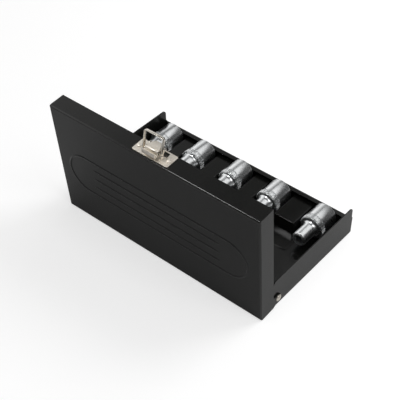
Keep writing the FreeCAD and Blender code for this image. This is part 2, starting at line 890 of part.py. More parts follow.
def socket(letter, count, floor):
    """Star end at the body's origin, square drive end along +Y, a grooved ring between them."""
    body = new_body(f"socket_{count}")
    neck, star, lobe = f"neck{letter}", f"star{letter}", f"lobe{letter}"
    ring_end = "(socketLength - bodyLength)"
    ring_start = f"({ring_end} - ringLength)"
    shoulder = f"({ring_start} - shoulderLand)"
    climb = f"(shoulderRadius - {neck}) / tan(shoulderTaper * 1 deg)"
    profile = new_sketch(body, "XY_Plane")
    outline(
        profile,
        [
            ("0", "0"),
            (f"{neck} - edgeBreak", "0"),
            (neck, "edgeBreak"),
            (neck, f"{shoulder} - {climb}"),
            ("shoulderRadius", shoulder),
            ("shoulderRadius", ring_start),
            ("ringRadius", ring_start),
            ("ringRadius", ring_end),
            ("bodyRadius", ring_end),
            ("bodyRadius", "socketLength - edgeBreak"),
            ("bodyRadius - edgeBreak", "socketLength"),
            ("0", "socketLength"),
        ],
    )
    turn(body, profile, "V_Axis")
    drive = new_sketch(body, "XZ_Plane", "0 - socketLength")
    box_outline(drive, "0 - driveSquare / 2", "driveSquare / 2", "0 - driveSquare / 2", "driveSquare / 2")
    pocket(body, drive, "driveDepth")
    bore = new_sketch(body, "XZ_Plane")
    ring_outline(bore, "0", "0", "boreRadius")
    pocket(body, bore, "socketLength", back=True)
    recess = new_sketch(body, "XZ_Plane")
    ring_outline(recess, "0", "0", star)
    pocket(body, recess, "starDepth", back=True)
    flute = new_sketch(body, "XZ_Plane")
    ring_outline(flute, star, "0", lobe)
    one = pocket(body, flute, "starDepth", back=True)
    around(body, one, "Y_Axis", "starPoints")
    groove = new_sketch(body, "XZ_Plane", f"0 - {ring_start}")
    outline(
        groove,
        [
            ("ringRadius - grooveDepth", "0"),
            ("ringRadius + grooveDepth", "0 - 2 * grooveHalf"),
            ("ringRadius + grooveDepth", "2 * grooveHalf"),
        ],
    )
    cut = pocket(body, groove, "ringLength", back=True)
    around(body, cut, "Y_Axis", "ringGrooves")
    nose = f"socketFront + ahead{letter} - socketLength"
    rest = f"vector(place{letter}; {nose}; {floor} + seatGap + ringRadius)"
    body.setExpression("Placement", link(f"placement({rest}; rotation(vector(0; 0; 1); 0))"))
    return body


parts = [base_tray(), holder_plate()]
letters = list(SOCKETS)
parts += [divider(count, *pair) for count, pair in enumerate(zip(letters, letters[1:]), 1)]
for count, letter in enumerate(SOCKETS, 1):
    beyond = number(f"place{letter}") > number("holderRight")
    parts.append(socket(letter, count, "sheet" if beyond else "2 * sheet"))
parts += [hinge_rivet("hinge_rivet_left", "rivetOnLeft"), hinge_rivet("hinge_rivet_right", "rivetOnRight")]
parts += [lid(), latch_plate()]
latch_sizes = ("latchRivetRadius", "latchHeadRadius", "latchHeadHeight", "latchTailRadius", "latchTailHeight")
level = "lidTop - latchRivetDrop"
parts.append(
    rivet_pair("latch_rivets", "latchRivetPitch", level, "lidFront", "latchSheet", latch_sizes, "lidOpen")
)
parts += [latch_lever(), lever_pin(), latch_bail(), catch_plate()]
catch_sizes = ("catchRivetRadius", "catchHeadRadius", "catchHeadHeight", "catchTailRadius", "catchTailHeight")
parts.append(
    rivet_pair("catch_rivets", "catchRivetPitch", "catchRivetHeight", "trayFront", "latchSheet", catch_sizes)
)

# --------------------------------------------------------------------------- checks and files

doc.recompute()
os.makedirs("parts", exist_ok=True)
for item in doc.Objects:
    assert not {"Invalid", "Error"} & set(item.State), f"{item.Label} is {item.State}"
for part in parts:
    shape = part.Shape
    assert not shape.isNull() and shape.isValid(), f"{part.Label} has no valid shape"
    shape.exportStep(f"parts/{part.Label}.step")
    box = shape.BoundBox
    print(f"{part.Label:18s} {len(shape.Solids)} solid(s) {shape.Volume:9.1f} mm3", box)
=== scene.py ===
# %% [markdown]
# # A hinged socket case
# This lesson dresses a small folded steel case that holds five sockets. The case, its hinge and its latch
# already exist as plain engineering solids, packed with their joints. Here each of them gets the shape and
# the finish that the eye expects: bent sheet with soft folds, black enamel, chrome and nickel. Everything is
# in metres, in the frame of the packed solids, so the first step is to load them.

# %% Load the packed solids
import math
import bmesh
import bpy
from mathutils import Matrix, Vector


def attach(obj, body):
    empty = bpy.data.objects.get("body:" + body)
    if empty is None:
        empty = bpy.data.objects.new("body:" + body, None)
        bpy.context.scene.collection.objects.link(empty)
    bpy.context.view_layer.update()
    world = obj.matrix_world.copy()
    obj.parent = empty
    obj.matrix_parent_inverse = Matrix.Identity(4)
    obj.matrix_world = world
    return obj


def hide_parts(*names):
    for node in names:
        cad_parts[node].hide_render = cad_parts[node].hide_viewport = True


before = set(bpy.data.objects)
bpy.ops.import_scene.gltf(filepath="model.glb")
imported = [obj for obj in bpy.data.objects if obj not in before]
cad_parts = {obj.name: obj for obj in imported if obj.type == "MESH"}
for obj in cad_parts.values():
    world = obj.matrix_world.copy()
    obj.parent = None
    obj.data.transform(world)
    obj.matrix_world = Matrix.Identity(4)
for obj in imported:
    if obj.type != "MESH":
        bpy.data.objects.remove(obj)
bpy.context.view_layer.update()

MM = 0.001

# %% [markdown]
# ## Writing a finish as a sum
# A finish is a small net of shader nodes. Wiring it by hand hides what it says, so one class wraps a node's
# output and lets it be used in ordinary sums: a mask times a number, or one minus a mask, adds the Math
# nodes by itself. Colours are mixed with a Mix node, because a Math node would turn them grey.

# %% A socket that can be added and multiplied
class Channel:
    def __init__(self, net, socket):
        self.net = net
        self.socket = socket

    def math(self, operation, *values):
        return self.net.add("ShaderNodeMath", {"operation": operation}, dict(enumerate(values)))

    def __add__(self, other):
        return self.math("ADD", self, other)

    def __sub__(self, other):
        return self.math("SUBTRACT", self, other)

    def __rsub__(self, other):
        return self.math("SUBTRACT", other, self)

    def __mul__(self, other):
        return self.math("MULTIPLY", self, other)

    __radd__ = __add__
    __rmul__ = __mul__


print("sums on sockets:", [name for name in vars(Channel) if name.startswith("__r")])

# %% [markdown]
# ## One way to add any node
# A net is a tree of nodes with one method that adds a node: it takes the node's type, the settings that
# have to be there first, such as a ramp's stops, and then the values or links of its sockets. The few kinds
# of node that come back again and again get a short name of their own on top of it. The world has a net
# too, so what both need stays in this class.

# %% The net
class Net:
    def __init__(self, tree):
        self.tree = tree

    def plug(self, socket, value):
        if isinstance(value, Channel):
            self.tree.links.new(value.socket, socket)
        else:
            socket.default_value = value

    def add(self, kind, settings=None, inputs=None, output=0):
        node = self.tree.nodes.new(kind)
        for name, value in (settings or {}).items():
            if name == "stops":
                for element, (place, shade) in zip(node.color_ramp.elements, value):
                    element.position = place
                    element.color = (shade, shade, shade, 1)
            else:
                setattr(node, name, value)
        for name, value in (inputs or {}).items():
            self.plug(node.inputs[name], value)
        return Channel(self, node.outputs[output])

    def fade(self, value, low, high):
        """0 below low, 1 above high and a straight run between them."""
        return self.add("ShaderNodeValToRGB", {"stops": [(low, 0), (high, 1)]}, {0: value})

    def glide(self, value, low, high, first, last):
        """Goes softly from first to last while the value goes from low to high."""
        limits = {"Value": value, "From Min": low, "From Max": high, "To Min": first, "To Max": last}
        return self.add("ShaderNodeMapRange", {"interpolation_type": "SMOOTHSTEP"}, limits)

    def ray(self, kind):
        """1 for rays of one kind, such as Camera or Glossy, and 0 for the rest."""
        return self.add("ShaderNodeLightPath", output=f"Is {kind} Ray")

    def grey(self, value):
        return self.add("ShaderNodeCombineColor", None, {0: value, 1: value, 2: value})


print("a net can:", [name for name in vars(Net) if not name.startswith("__")])

# %% [markdown]
# A finish is a net that holds a material and its main shader. What is the same all over is set straight on
# the shader's sockets when the finish is made, and what changes over the surface is fed in at the end.

# %% The finish
# The Mix node keeps a set of sockets for each type of value. These are the ones for colours.
FACTOR, FIRST_COLOUR, SECOND_COLOUR, MIXED_COLOUR = 0, 6, 7, 2


class Finish(Net):
    def __init__(self, name, **constants):
        self.material = bpy.data.materials.new(name)
        self.material.use_nodes = True
        super().__init__(self.material.node_tree)
        self.shader = self.tree.nodes["Principled BSDF"]
        for socket, value in constants.items():
            self.shader.inputs[socket.replace("_", " ")].default_value = value

    def feed(self, **channels):
        for socket, value in channels.items():
            self.plug(self.shader.inputs[socket.replace("_", " ")], value)
        return self.material

    def place(self):
        return self.add("ShaderNodeTexCoord", output="Object")

    def stretch(self, x, y, z):
        return self.add("ShaderNodeMapping", None, {"Vector": self.place(), "Scale": (x, y, z)})

    def noise(self, scale, detail, rough, where=None):
        settings = {"Vector": where or self.place(), "Scale": scale, "Detail": detail, "Roughness": rough}
        return self.add("ShaderNodeTexNoise", None, settings)

    def mix(self, factor, first, second):
        inputs = {FACTOR: factor, FIRST_COLOUR: first, SECOND_COLOUR: second}
        return self.add("ShaderNodeMix", {"data_type": "RGBA"}, inputs, output=MIXED_COLOUR)

    def bump(self, height, strength, distance):
        inputs = {"Height": height, "Strength": strength, "Distance": distance * MM}
        return self.add("ShaderNodeBump", None, inputs)


print("a finish can:", [name for name in vars(Finish) if not name.startswith("__")])

# %% [markdown]
# ## Black enamel
# Baked enamel on folded steel is black with a soft gloss. Close up, it has the faint skin of an orange,
# and years in a workshop leave a thin haze of dust and hand marks that change the gloss more than the
# colour. A painted image could hold all that, but noise needs no seams and no unwrapping: the skin is a fine
# bump, and the haze is a large, slow noise that feeds colour and roughness. Paint draws thin and tight round
# a fold, so the folds get an enamel of their own, glossier than the flat sheet. It is also a little paler:
# a painted highlight along each fold.

# %% Enamel for the case, the holder and the folds
DUST, DUST_COVER = (0.11, 0.108, 0.1), 0.08
HAZE_DULLS, SCUFFS_DULL = 0.06, 0.05


def enamel(name, shade, haze, rough, skin):
    """shade is the clean paint, haze the dusty patches, and skin the height of the orange skin in mm."""
    finish = Finish(name, Specular_IOR_Level=0.42)
    patches = finish.fade(finish.noise(scale=28, detail=5, rough=0.6), low=0.35, high=0.72)
    specks = finish.fade(finish.noise(scale=2300, detail=2, rough=0.7), low=0.7, high=0.78)
    scratches = finish.noise(scale=40, detail=6, rough=0.75, where=finish.stretch(1, 9, 3))
    scuffs = finish.fade(scratches, low=0.62, high=0.7)
    tone = finish.mix(patches, (*shade, 1), (*haze, 1))
    tone = finish.mix(specks * DUST_COVER, tone, (*DUST, 1))
    gloss = patches * HAZE_DULLS + scuffs * SCUFFS_DULL + rough
    peel = finish.noise(scale=620, detail=2, rough=0.45)
    relief = finish.bump(peel, strength=0.35, distance=skin)
    return finish.feed(Base_Color=tone, Roughness=gloss, Normal=relief)


CLEAN, HAZY = (0.0046, 0.0048, 0.0043), (0.0066, 0.0068, 0.006)
case_enamel = enamel("case_enamel", CLEAN, HAZY, rough=0.2, skin=0.018)
holder_enamel = enamel("holder_enamel", CLEAN, HAZY, rough=0.12, skin=0.008)
# The fold enamel's shade and haze are paler than the case's: that paler tone is a painted highlight on the
# folds.
fold_highlight_enamel = enamel("fold_highlight_enamel", (0.012, 0.0122, 0.0115), (0.018, 0.018, 0.017), rough=0.1, skin=0.004)
print("finishes:", [m.name for m in bpy.data.materials])

# %% [markdown]
# ## Chrome and nickel
# A socket is turned and then chromed, with a satin grain that runs round it. Nickel is warmer and a little
# uneven: satin on the flat strip of the latch and on the rivets, bright on the bail, the pin and the
# cheeks. All three are bare metal, so the colour is the colour of the reflection. One function makes them
# all, because they differ only in tone, in roughness and in the way their grain is stretched.

# %% Plated metals
CLOUD_DULLS, GRAIN_DULLS = 0.05, 0.1
SPOT_SHADE, NOISE_MIDDLE = 0.6, 0.5


def plated(name, bright, dull, rough, grain, depth, stain):
    """grain is how fine the marks are along each axis, depth their height in mm, and stain how much of
    the dull tone shows."""
    finish = Finish(name, Metallic=1.0)
    cloud = finish.fade(finish.noise(scale=900, detail=3, rough=0.6), low=0.4, high=0.72)
    spots = finish.fade(finish.noise(scale=900, detail=3, rough=0.7), low=0.66, high=0.76)
    lines = finish.noise(scale=1, detail=3, rough=0.6, where=finish.stretch(*grain))
    darker = [SPOT_SHADE * value for value in dull]
    tone = finish.mix(cloud * stain, (*bright, 1), (*dull, 1))
    tone = finish.mix(spots * (stain / 2), tone, (*darker, 1))
    gloss = cloud * CLOUD_DULLS + (lines - NOISE_MIDDLE) * GRAIN_DULLS + rough
    relief = finish.bump(lines, strength=0.5, distance=depth)
    return finish.feed(Base_Color=tone, Roughness=gloss, Normal=relief)


satin_chrome = plated(
    "satin_chrome", bright=(0.80, 0.815, 0.82), dull=(0.54, 0.55, 0.56),
    rough=0.27, grain=(260, 5000, 260), depth=0.0003, stain=0.4,
)
satin_nickel = plated(
    "satin_nickel", bright=(0.90, 0.85, 0.77), dull=(0.68, 0.60, 0.49),
    rough=0.46, grain=(400, 700, 400), depth=0.001, stain=0.35,
)
bright_nickel = plated(
    "bright_nickel", bright=(0.83, 0.79, 0.72), dull=(0.56, 0.49, 0.39),
    rough=0.15, grain=(400, 700, 400), depth=0.0006, stain=0.45,
)
print("finishes:", [m.name for m in bpy.data.materials])

# %% [markdown]
# ## Putting a piece in its place
# A mesh is written in millimetres, because a maker thinks in them, and turned into metres once. Whatever
# the lid carries could be drawn where it stands when the case is open, but every number would then be
# slanted. It is drawn with the lid shut, and swung open about the hinge rivets by the same matrix.

# %% Pieces and the swing of the lid
HINGE = Vector((0, -46.4, 8.8))
OPENING = math.radians(95)
swing = Matrix.Translation(HINGE) @ Matrix.Rotation(OPENING, 4, "X") @ Matrix.Translation(-HINGE)
still = Matrix.Identity(4)


def settle(mesh, name, finishes, body, stands_for=(), moved=still, round_angle=35):
    """Turns a mesh in millimetres into a piece that rides on a body."""
    mesh.transform(Matrix.Scale(MM, 4) @ moved)
    for material in finishes if isinstance(finishes, list) else [finishes]:
        mesh.materials.append(material)
    piece = bpy.data.objects.new(name, mesh)
    bpy.context.scene.collection.objects.link(piece)
    mesh.shade_smooth()
    mesh.set_sharp_from_angle(angle=math.radians(round_angle))
    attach(piece, body)
    if stands_for:
        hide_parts(*stands_for)
    return piece


print("the lid swings", round(math.degrees(OPENING)), "degrees about", tuple(HINGE))

# %% [markdown]
# ## Meshes from faces and from rings
# Two ways of building make nearly everything here. Folded sheet is a few flat faces between numbered
# corners. Everything turned, stacked or swept is a row of rings with the same number of points, and one
# function lays four-sided faces from each ring to the next.

# %% Two ways to build a mesh
def mesh_of(corners, faces):
    mesh = bpy.data.meshes.new("drawn")
    mesh.from_pydata([tuple(c) for c in corners], [], faces)
    mesh.update()
    return mesh


def as_mesh(build):
    mesh = bpy.data.meshes.new("drawn")
    build.to_mesh(mesh)
    build.free()
    return mesh


def skin(rings, closed=False):
    """Faces from ring to ring. The ends get a cap each, unless the last ring joins the first."""
    build = bmesh.new()
    loops = [[build.verts.new(point) for point in ring] for ring in rings]
    count = len(loops[0])
    for one, two in zip(loops, loops[1:] + loops[:1] if closed else loops[1:]):
        for k in range(count):
            after = (k + 1) % count
            build.faces.new((one[k], one[after], two[after], two[k]))
    if not closed:
        build.faces.new(loops[-1])
        build.faces.new(loops[0][::-1])
    bmesh.ops.recalc_face_normals(build, faces=build.faces)
    return as_mesh(build)


def joined(*meshes):
    build = bmesh.new()
    for mesh in meshes:
        build.from_mesh(mesh)
    return as_mesh(build)


def arc(middle, radius, start, end, count):
    """Points on a circle, with angles in degrees from the first axis towards the second."""
    steps = [math.radians(start + (end - start) * k / (count - 1)) for k in range(count)]
    return [(middle[0] + radius * math.cos(a), middle[1] + radius * math.sin(a)) for a in steps]


print("a quarter circle in three points:", [tuple(round(v, 2) for v in p) for p in arc((0, 0), 1, 0, 90, 3)])

# %% [markdown]
# ## Folded sheet
# A pan of folded steel is one flat blank with its sides bent up. It could be a solid with a hollow cut out,
# but then the bends would look machined. Instead only the outer skin is drawn, as flat faces that share
# their fold lines. A Bevel with weights rolls each fold to its own radius and gives the rolled strip the
# fold enamel, whose paler colour is a painted highlight. Solidify gives the sheet its gauge towards the
# inside, and a last small Bevel takes the sharpness off the cut edges.

# %% From fold lines to bent sheet
BEND, TIGHT, GAUGE = 1.3, 0.3, 0.8
CUT_EDGE, CUT_ANGLE = 0.14, 50
ON_FOLD = 1


def bent_sheet(name, corners, faces, folds, body, stands_for, moved=still):
    """folds maps a pair of corner numbers to the radius of the fold between them."""
    mesh = mesh_of(corners, faces)
    piece = settle(mesh, name, [case_enamel, fold_highlight_enamel], body, stands_for, moved)
    weights = mesh.attributes.new("bevel_weight_edge", "FLOAT", "EDGE")
    known = {frozenset(pair): radius / BEND for pair, radius in folds.items()}
    for edge in mesh.edges:
        weights.data[edge.index].value = known.get(frozenset(edge.vertices), 0)
    roll = piece.modifiers.new("bends", "BEVEL")
    roll.limit_method = "WEIGHT"
    roll.width = BEND * MM
    roll.segments = 6
    roll.use_clamp_overlap = False
    # The rolled strip takes the fold enamel, whose paler colour is a painted highlight along the bends.
    roll.material = ON_FOLD
    gauge = piece.modifiers.new("gauge", "SOLIDIFY")
    gauge.thickness = GAUGE * MM
    gauge.offset = -1
    gauge.use_even_offset = True
    rim = piece.modifiers.new("cut edges", "BEVEL")
    rim.limit_method = "ANGLE"
    rim.angle_limit = math.radians(CUT_ANGLE)
    rim.width = CUT_EDGE * MM
    rim.segments = 2
    rim.harden_normals = True
    return piece


print("sheet of", GAUGE, "mm, bends of", BEND, "mm outside")

# %% [markdown]
# The tray and the lid are both pans, so they share the start of their outline: a flat with four corners, a
# low wall at the rear and at the front, and two side walls cut to a curve of their own.

# %% What both pans share
def pan_corners(half_width, half_depth, flat, rear, front):
    """Corners 0 to 3 go round the flat. Corners 4 to 7 are over or under them, at the walls' edges."""
    plan = [(-half_width, -half_depth), (half_width, -half_depth)]
    plan += [(half_width, half_depth), (-half_width, half_depth)]
    edges = [(x, y, z) for (x, y), z in zip(plan, (rear, rear, front, front))]
    return [(x, y, flat) for x, y in plan] + edges


def add_side_walls(corners, half_width, outline):
    """Adds the curved edge of a side wall on the left and the right, and returns the corners' numbers."""
    walls = []
    for x in (-half_width, half_width):
        walls.append(range(len(corners), len(corners) + len(outline)))
        corners += [(x, y, z) for y, z in outline]
    return walls


def pan_folds(*more):
    """Full bends round the flat and wherever else the pan has one, and tight ones at its upright corners."""
    folds = {pair: BEND for pair in [(0, 1), (1, 2), (2, 3), (3, 0), *more]}
    folds.update({pair: TIGHT for pair in [(0, 4), (1, 5), (2, 6), (3, 7)]})
    return folds


print("a pan has", len(pan_folds()), "folds")

# %% [markdown]
# ## The tray
# The tray has tall side walls with rounded upper corners, a plain rear wall, and a low front wall whose top
# is turned inwards as a lip. The lip's ends are mitred so that it can fold in between the side walls. The
# lip could be a piece of its own, but as one more face on the front wall it gets its bend from the same
# Bevel.

# %% The tray's outer skin
SIDE, FRONT = 96.4, 52.1
LOW, TALL, REAR = 16.4, 27.9, 22.0
LIP, LIP_GAP, LIP_SLANT = 4.8, 0.4, 0.6
WALL_FRONT, ROUND, ROUND_POINTS = 50.5, 3.6, 7

corners = pan_corners(SIDE, FRONT, 0, REAR, LOW)
lip_end = SIDE - GAUGE - LIP_GAP
lip_tip = lip_end - LIP + LIP_SLANT
corners += [(-lip_end, FRONT, LOW), (lip_end, FRONT, LOW)]
corners += [(lip_tip, FRONT - LIP, LOW), (-lip_tip, FRONT - LIP, LOW)]
rim = [(FRONT - BEND, LOW)]
rim += arc((WALL_FRONT - ROUND, TALL - ROUND), ROUND, 0, 90, ROUND_POINTS)
rim += arc((ROUND - FRONT, TALL - ROUND), ROUND, 90, 180, ROUND_POINTS)
left, right = add_side_walls(corners, SIDE, rim)
faces = [(0, 3, 2, 1), (0, 1, 5, 4), (3, 7, 8, 9, 6, 2), (8, 11, 10, 9)]
faces += [(0, 4, *reversed(left), 7, 3), (1, 2, 6, *right, 5)]
tray = bent_sheet("tray", corners, faces, pan_folds((8, 9)), "case", ["base_tray"])
print("tray:", len(tray.data.polygons), "flat faces before bending")

# %% [markdown]
# ## The lid
# The lid is a shallower pan. Its two side skirts run down into round ears at the back, and the hinge rivets
# pass through those ears. It could be a box with rounded edges, but the same folding as for the tray gives
# it the same bends and cut edges. It is drawn shut, with the ears hanging down, and swung open.

# %% The lid's outer skin
LID_SIDE, LID_FRONT, LID_TOP = 97.5, 53.2, 29.2
SKIRT, REAR_FOOT = 14.5, 15.25
EAR, EAR_POINTS = 3.4, 19
EAR_FILLET, FILLET_POINTS = 2, 5

corners = pan_corners(LID_SIDE, LID_FRONT, LID_TOP, REAR_FOOT, SKIRT)
rim = arc((HINGE.y, HINGE.z), EAR, 180, 360, EAR_POINTS)
rim += arc((HINGE.y + EAR + EAR_FILLET, SKIRT - EAR_FILLET), EAR_FILLET, 180, 90, FILLET_POINTS)
left, right = add_side_walls(corners, LID_SIDE, rim)
faces = [(0, 1, 2, 3), (3, 2, 6, 7), (1, 0, 4, 5), (0, 3, 7, *reversed(left), 4), (2, 1, 5, *right, 6)]
lid = bent_sheet("lid_pan", corners, faces, pan_folds(), "lid", ["lid"], swing)
print("lid:", len(lid.data.polygons), "flat faces before bending")

# %% [markdown]
# ## The pressed panel
# A rounded outline and three ribs are pressed up in the lid to stiffen it. Pressing the whole sheet would
# take a very fine mesh everywhere, so each bead is a strip of its own: a soft wave across, swept along its
# path, that starts and ends flush with the sheet.

# %% A bead swept along a path
BEAD_WIDTH, BEAD_RISE, BEAD_STEPS = 2.6, 0.5, 10
FLUSH, BURIED = 0.004, 0.35


def bead_wave():
    """Offsets across the path and heights over the sheet, then a flat base inside the sheet."""
    wave = []
    for k in range(BEAD_STEPS + 1):
        share = k / BEAD_STEPS
        height = BEAD_RISE * (0.5 - 0.5 * math.cos(2 * math.pi * share)) - FLUSH
        wave.append(((share - 0.5) * BEAD_WIDTH, height))
    return wave + [(BEAD_WIDTH / 2, -BURIED), (-BEAD_WIDTH / 2, -BURIED)]


def bead(path, closed):
    """Sweeps the wave along a path that lies on the lid."""
    wave = bead_wave()
    rings = []
    for k, point in enumerate(path):
        before = path[k - 1] if closed or k else point
        after = path[(k + 1) % len(path)] if closed or k < len(path) - 1 else point
        way = (Vector(after) - Vector(before)).normalized()
        across = Vector((-way.y, way.x))
        spots = [(Vector(point) + across * off, height) for off, height in wave]
        rings.append([(spot.x, spot.y, LID_TOP + height) for spot, height in spots])
    return skin(rings, closed)


print("beads are", round(max(height for _, height in bead_wave()), 2), "mm high")

# %% [markdown]
# The outline is a closed loop with half-round ends, like a running track. The ribs are straight, and their
# ends run out into the sheet, because a press can't stop a bead short.

# %% Outline and ribs
PANEL_Y, PANEL_LENGTH, PANEL_WIDTH = -2.2, 172, 35.4
RIB_LENGTH, RIB_PITCH, RIB_STEPS = 124, 9, 48
RUN_OUT, END_WIDTH = 5, 0.35


def track_path(length, width, middle, steps=24):
    reach = (length - width) / 2
    path = []
    for sign in (1, -1):
        for k in range(steps + 1):
            a = sign * (-math.pi / 2) + math.pi * k / steps
            path.append((sign * reach + math.cos(a) * width / 2, middle + math.sin(a) * width / 2))
    return path


def tapered_rib(y):
    """A straight bead that is lower and narrower over the last few millimetres at each end."""
    half = RIB_LENGTH / 2
    mesh = bead([(RIB_LENGTH * k / RIB_STEPS - half, y) for k in range(RIB_STEPS + 1)], False)
    foot = LID_TOP - FLUSH
    for vertex in mesh.vertices:
        full = math.sin(math.pi / 2 * min(1, (half - abs(vertex.co.x)) / RUN_OUT))
        if vertex.co.z > LID_TOP - BURIED / 2:
            vertex.co.z = foot + (vertex.co.z - foot) * full
        vertex.co.y = y + (vertex.co.y - y) * (END_WIDTH + (1 - END_WIDTH) * full)
    return mesh


ring = bead(track_path(PANEL_LENGTH, PANEL_WIDTH, PANEL_Y), True)
settle(ring, "panel_outline", case_enamel, "lid", moved=swing, round_angle=60)
for number, step in enumerate((-RIB_PITCH, 0, RIB_PITCH), 1):
    rib = tapered_rib(PANEL_Y + step)
    settle(rib, f"panel_rib_{number}", case_enamel, "lid", moved=swing, round_angle=60)
print("ribs:", number, "each", RIB_LENGTH, "mm long")

# %% [markdown]
# ## Sockets
# Each socket is turned from bar: a wide body with a grooved ring, a curved shoulder, and a narrow nose that
# takes a star-shaped bolt head. Cutting the recesses with booleans would leave ragged faces. Instead, a
# stack of closed outlines along the axis describes all of it in one go, from the nose round the outside to
# the drive end and back through the bores. Every outline has the same number of points, so round, grooved,
# star-shaped and square outlines join with clean four-sided faces.

# %% Outlines round the axis
AROUND = 288
TURNS = [2 * math.pi * k / AROUND for k in range(AROUND)]
GROOVES, GROOVE_SHARE = 30, 0.4


def round_outline(radius):
    return [radius] * AROUND


def grooved_outline(radius, depth):
    """Wide lands with narrow valleys between them."""
    valley = GROOVE_SHARE * AROUND
    return [radius - (depth if 0 < k * GROOVES % AROUND <= valley else 0) for k in range(AROUND)]


def star_outline(radius, lobe):
    """A circle with six round lobes on it."""
    reach = []
    for a in TURNS:
        off = (a + math.pi / 6) % (math.pi / 3) - math.pi / 6
        rest = lobe**2 - (radius * math.sin(off)) ** 2
        reach.append(max(radius, radius * math.cos(off) + math.sqrt(rest)) if rest > 0 else radius)
    return reach


# How far a round corner of radius 1 stays short of the sharp one.
SHORT = 0.41


def square_outline(half, corner=0.5):
    """A square hole with a small round in each corner."""
    reach = []
    for a in TURNS:
        off = (a + math.pi / 4) % (math.pi / 2) - math.pi / 4
        flat = half / math.cos(off)
        reach.append(min(flat, half * math.sqrt(2) - corner * SHORT))
    return reach


print("star outline reaches", round(max(star_outline(5.6, 1.3)), 2), "mm")

# %% [markdown]
# The stations run from the nose to the drive end and back inside. An edge is a short list of steps: how far
# along it lies, and how far the outline is drawn in there. The ring's steps also say how deep its grooves
# are. The shoulder rises out of the nose in a hollow sweep, a quarter of an ellipse.

# %% Stations of a socket
LENGTH, BODY, BODY_LENGTH = 38, 9.9, 15.9
RING, RING_LENGTH, SHOULDER, LAND = 10.3, 4.6, 9.5, 0.6
SQUARE, SQUARE_DEPTH, BORE, STAR_DEPTH = 6.35, 16.0, 3.2, 11.0
COVE_LENGTH, COVE_SHARE, COVE_STEPS = 3.6, 0.72, 9
LEAD_IN, LEAD_CORNER, LAND_END = 0.45, 0.9, 0.05
STAR_RUN_OUT, STAR_MOUTH = 0.8, 0.08
NOSE_EDGE = [(0, 1.1), (0.95, 0.1), (1.1, 0.02), (1.3, 0)]
SHOULDER_EDGE = [(0.02, 0.12), (0.14, 0)]
RING_EDGE = [(0, 0.4, 0.1), (0.25, 0.08, 0.35), (0.6, 0, 0.5)]
BODY_STEP = [(0.05, 0.25), (0.3, 0.25), (0.45, 0)]
DRIVE_EDGE = [(0.7, 0), (0.35, 0.1), (0.1, 0.32), (0, 0.6)]
BORE_MOUTH = [(0.8, -0.3), (1.2, 0)]


def outer_stations(neck):
    """(distance from the nose, outline), from the nose to the drive end."""
    ring_end = LENGTH - BODY_LENGTH
    ring_start = ring_end - RING_LENGTH
    face = ring_start - LAND
    rise = COVE_SHARE * (SHOULDER - neck)
    nose = [(y, round_outline(neck - inset)) for y, inset in NOSE_EDGE]
    for k in range(COVE_STEPS + 1):
        a = math.pi / 2 * k / COVE_STEPS
        nose.append((face - COVE_LENGTH * (1 - math.sin(a)), round_outline(neck + rise * (1 - math.cos(a)))))
    nose += [(face + y, round_outline(SHOULDER - inset)) for y, inset in SHOULDER_EDGE]
    nose += [(ring_start - LAND_END, round_outline(SHOULDER))]
    ring = [(ring_start + y, grooved_outline(RING - inset, depth)) for y, inset, depth in RING_EDGE]
    ring += [(ring_end - y, grooved_outline(RING - inset, depth)) for y, inset, depth in reversed(RING_EDGE)]
    body = [(ring_end + y, round_outline(BODY - inset)) for y, inset in BODY_STEP]
    body += [(LENGTH - y, round_outline(BODY - inset)) for y, inset in DRIVE_EDGE]
    return nose + ring + body


def inner_stations(star, lobe):
    """The drive square, the bore and the star recess, from the drive end back to the nose."""
    floor = LENGTH - SQUARE_DEPTH
    stations = [(LENGTH, square_outline(SQUARE + LEAD_IN, LEAD_CORNER))]
    stations += [(LENGTH - LEAD_IN, square_outline(SQUARE)), (floor, square_outline(SQUARE))]
    stations += [(floor - y, round_outline(BORE - inset)) for y, inset in BORE_MOUTH]
    stations += [(STAR_DEPTH + STAR_RUN_OUT, round_outline(BORE))]
    stations += [(STAR_DEPTH, star_outline(star, lobe)), (LEAD_IN, star_outline(star, lobe))]
    return stations + [(0, star_outline(star + STAR_MOUTH, lobe))]


print("bore between the recesses:", LENGTH - SQUARE_DEPTH - STAR_DEPTH, "mm long")

# %% [markdown]
# The grain of the satin chrome needs the piece's own axis, so all sockets lie along Y as they do in the
# tray. The last ring of the recess joins the first ring of the nose, which closes the shape.

# %% The five sockets
def socket_mesh(place, near_end, height, neck, star, lobe):
    rings = []
    for y, reach in outer_stations(neck) + inner_stations(star, lobe):
        spots = [(r * math.cos(a), r * math.sin(a)) for r, a in zip(reach, TURNS)]
        rings.append([(place + x, near_end + y, height + z) for x, z in spots])
    return skin(rings, closed=True)


# Place along the tray, nose end, height of the axis, neck radius, star radius and lobe radius.
SOCKETS = [
    (-82.2, 8.8, 12.2, 8.2, 5.6, 1.3),
    (-46.46, 8.8, 12.2, 7.7, 5.2, 1.2),
    (-6.98, 8.8, 12.2, 7.2, 4.8, 1.1),
    (31.93, 8.8, 12.2, 6.7, 4.4, 1.0),
    (75.33, 9.0, 11.4, 6.1, 3.9, 0.9),
]
for number, row in enumerate(SOCKETS, 1):
    name = f"socket_{number}"
    turned = socket_mesh(*row)
    piece = settle(turned, f"turned_{name}", satin_chrome, name, [name], round_angle=40)
print("each socket has", len(piece.data.polygons), "faces")

# %% [markdown]
# ## Holder
# Under the sockets lies a thin plate, and between them stand raised blocks, pressed up from it. A bevelled
# box would have the same edge all over. A stack of rounded rectangles can flare where the block leaves the
# plate, draft slightly up its sides, and roll over at the top.

# %% A stack of rounded rectangles
LEAST_CORNER = 0.15


def rounded_rectangle(low, high, radius, steps=5):
    spots = []
    for sign_x, sign_y, start in ((1, 1, 0), (-1, 1, 90), (-1, -1, 180), (1, -1, 270)):
        x = (high[0] if sign_x > 0 else low[0]) - sign_x * radius
        y = (high[1] if sign_y > 0 else low[1]) - sign_y * radius
        spots += arc((x, y), radius, start, start + 90, steps + 1)
    return spots


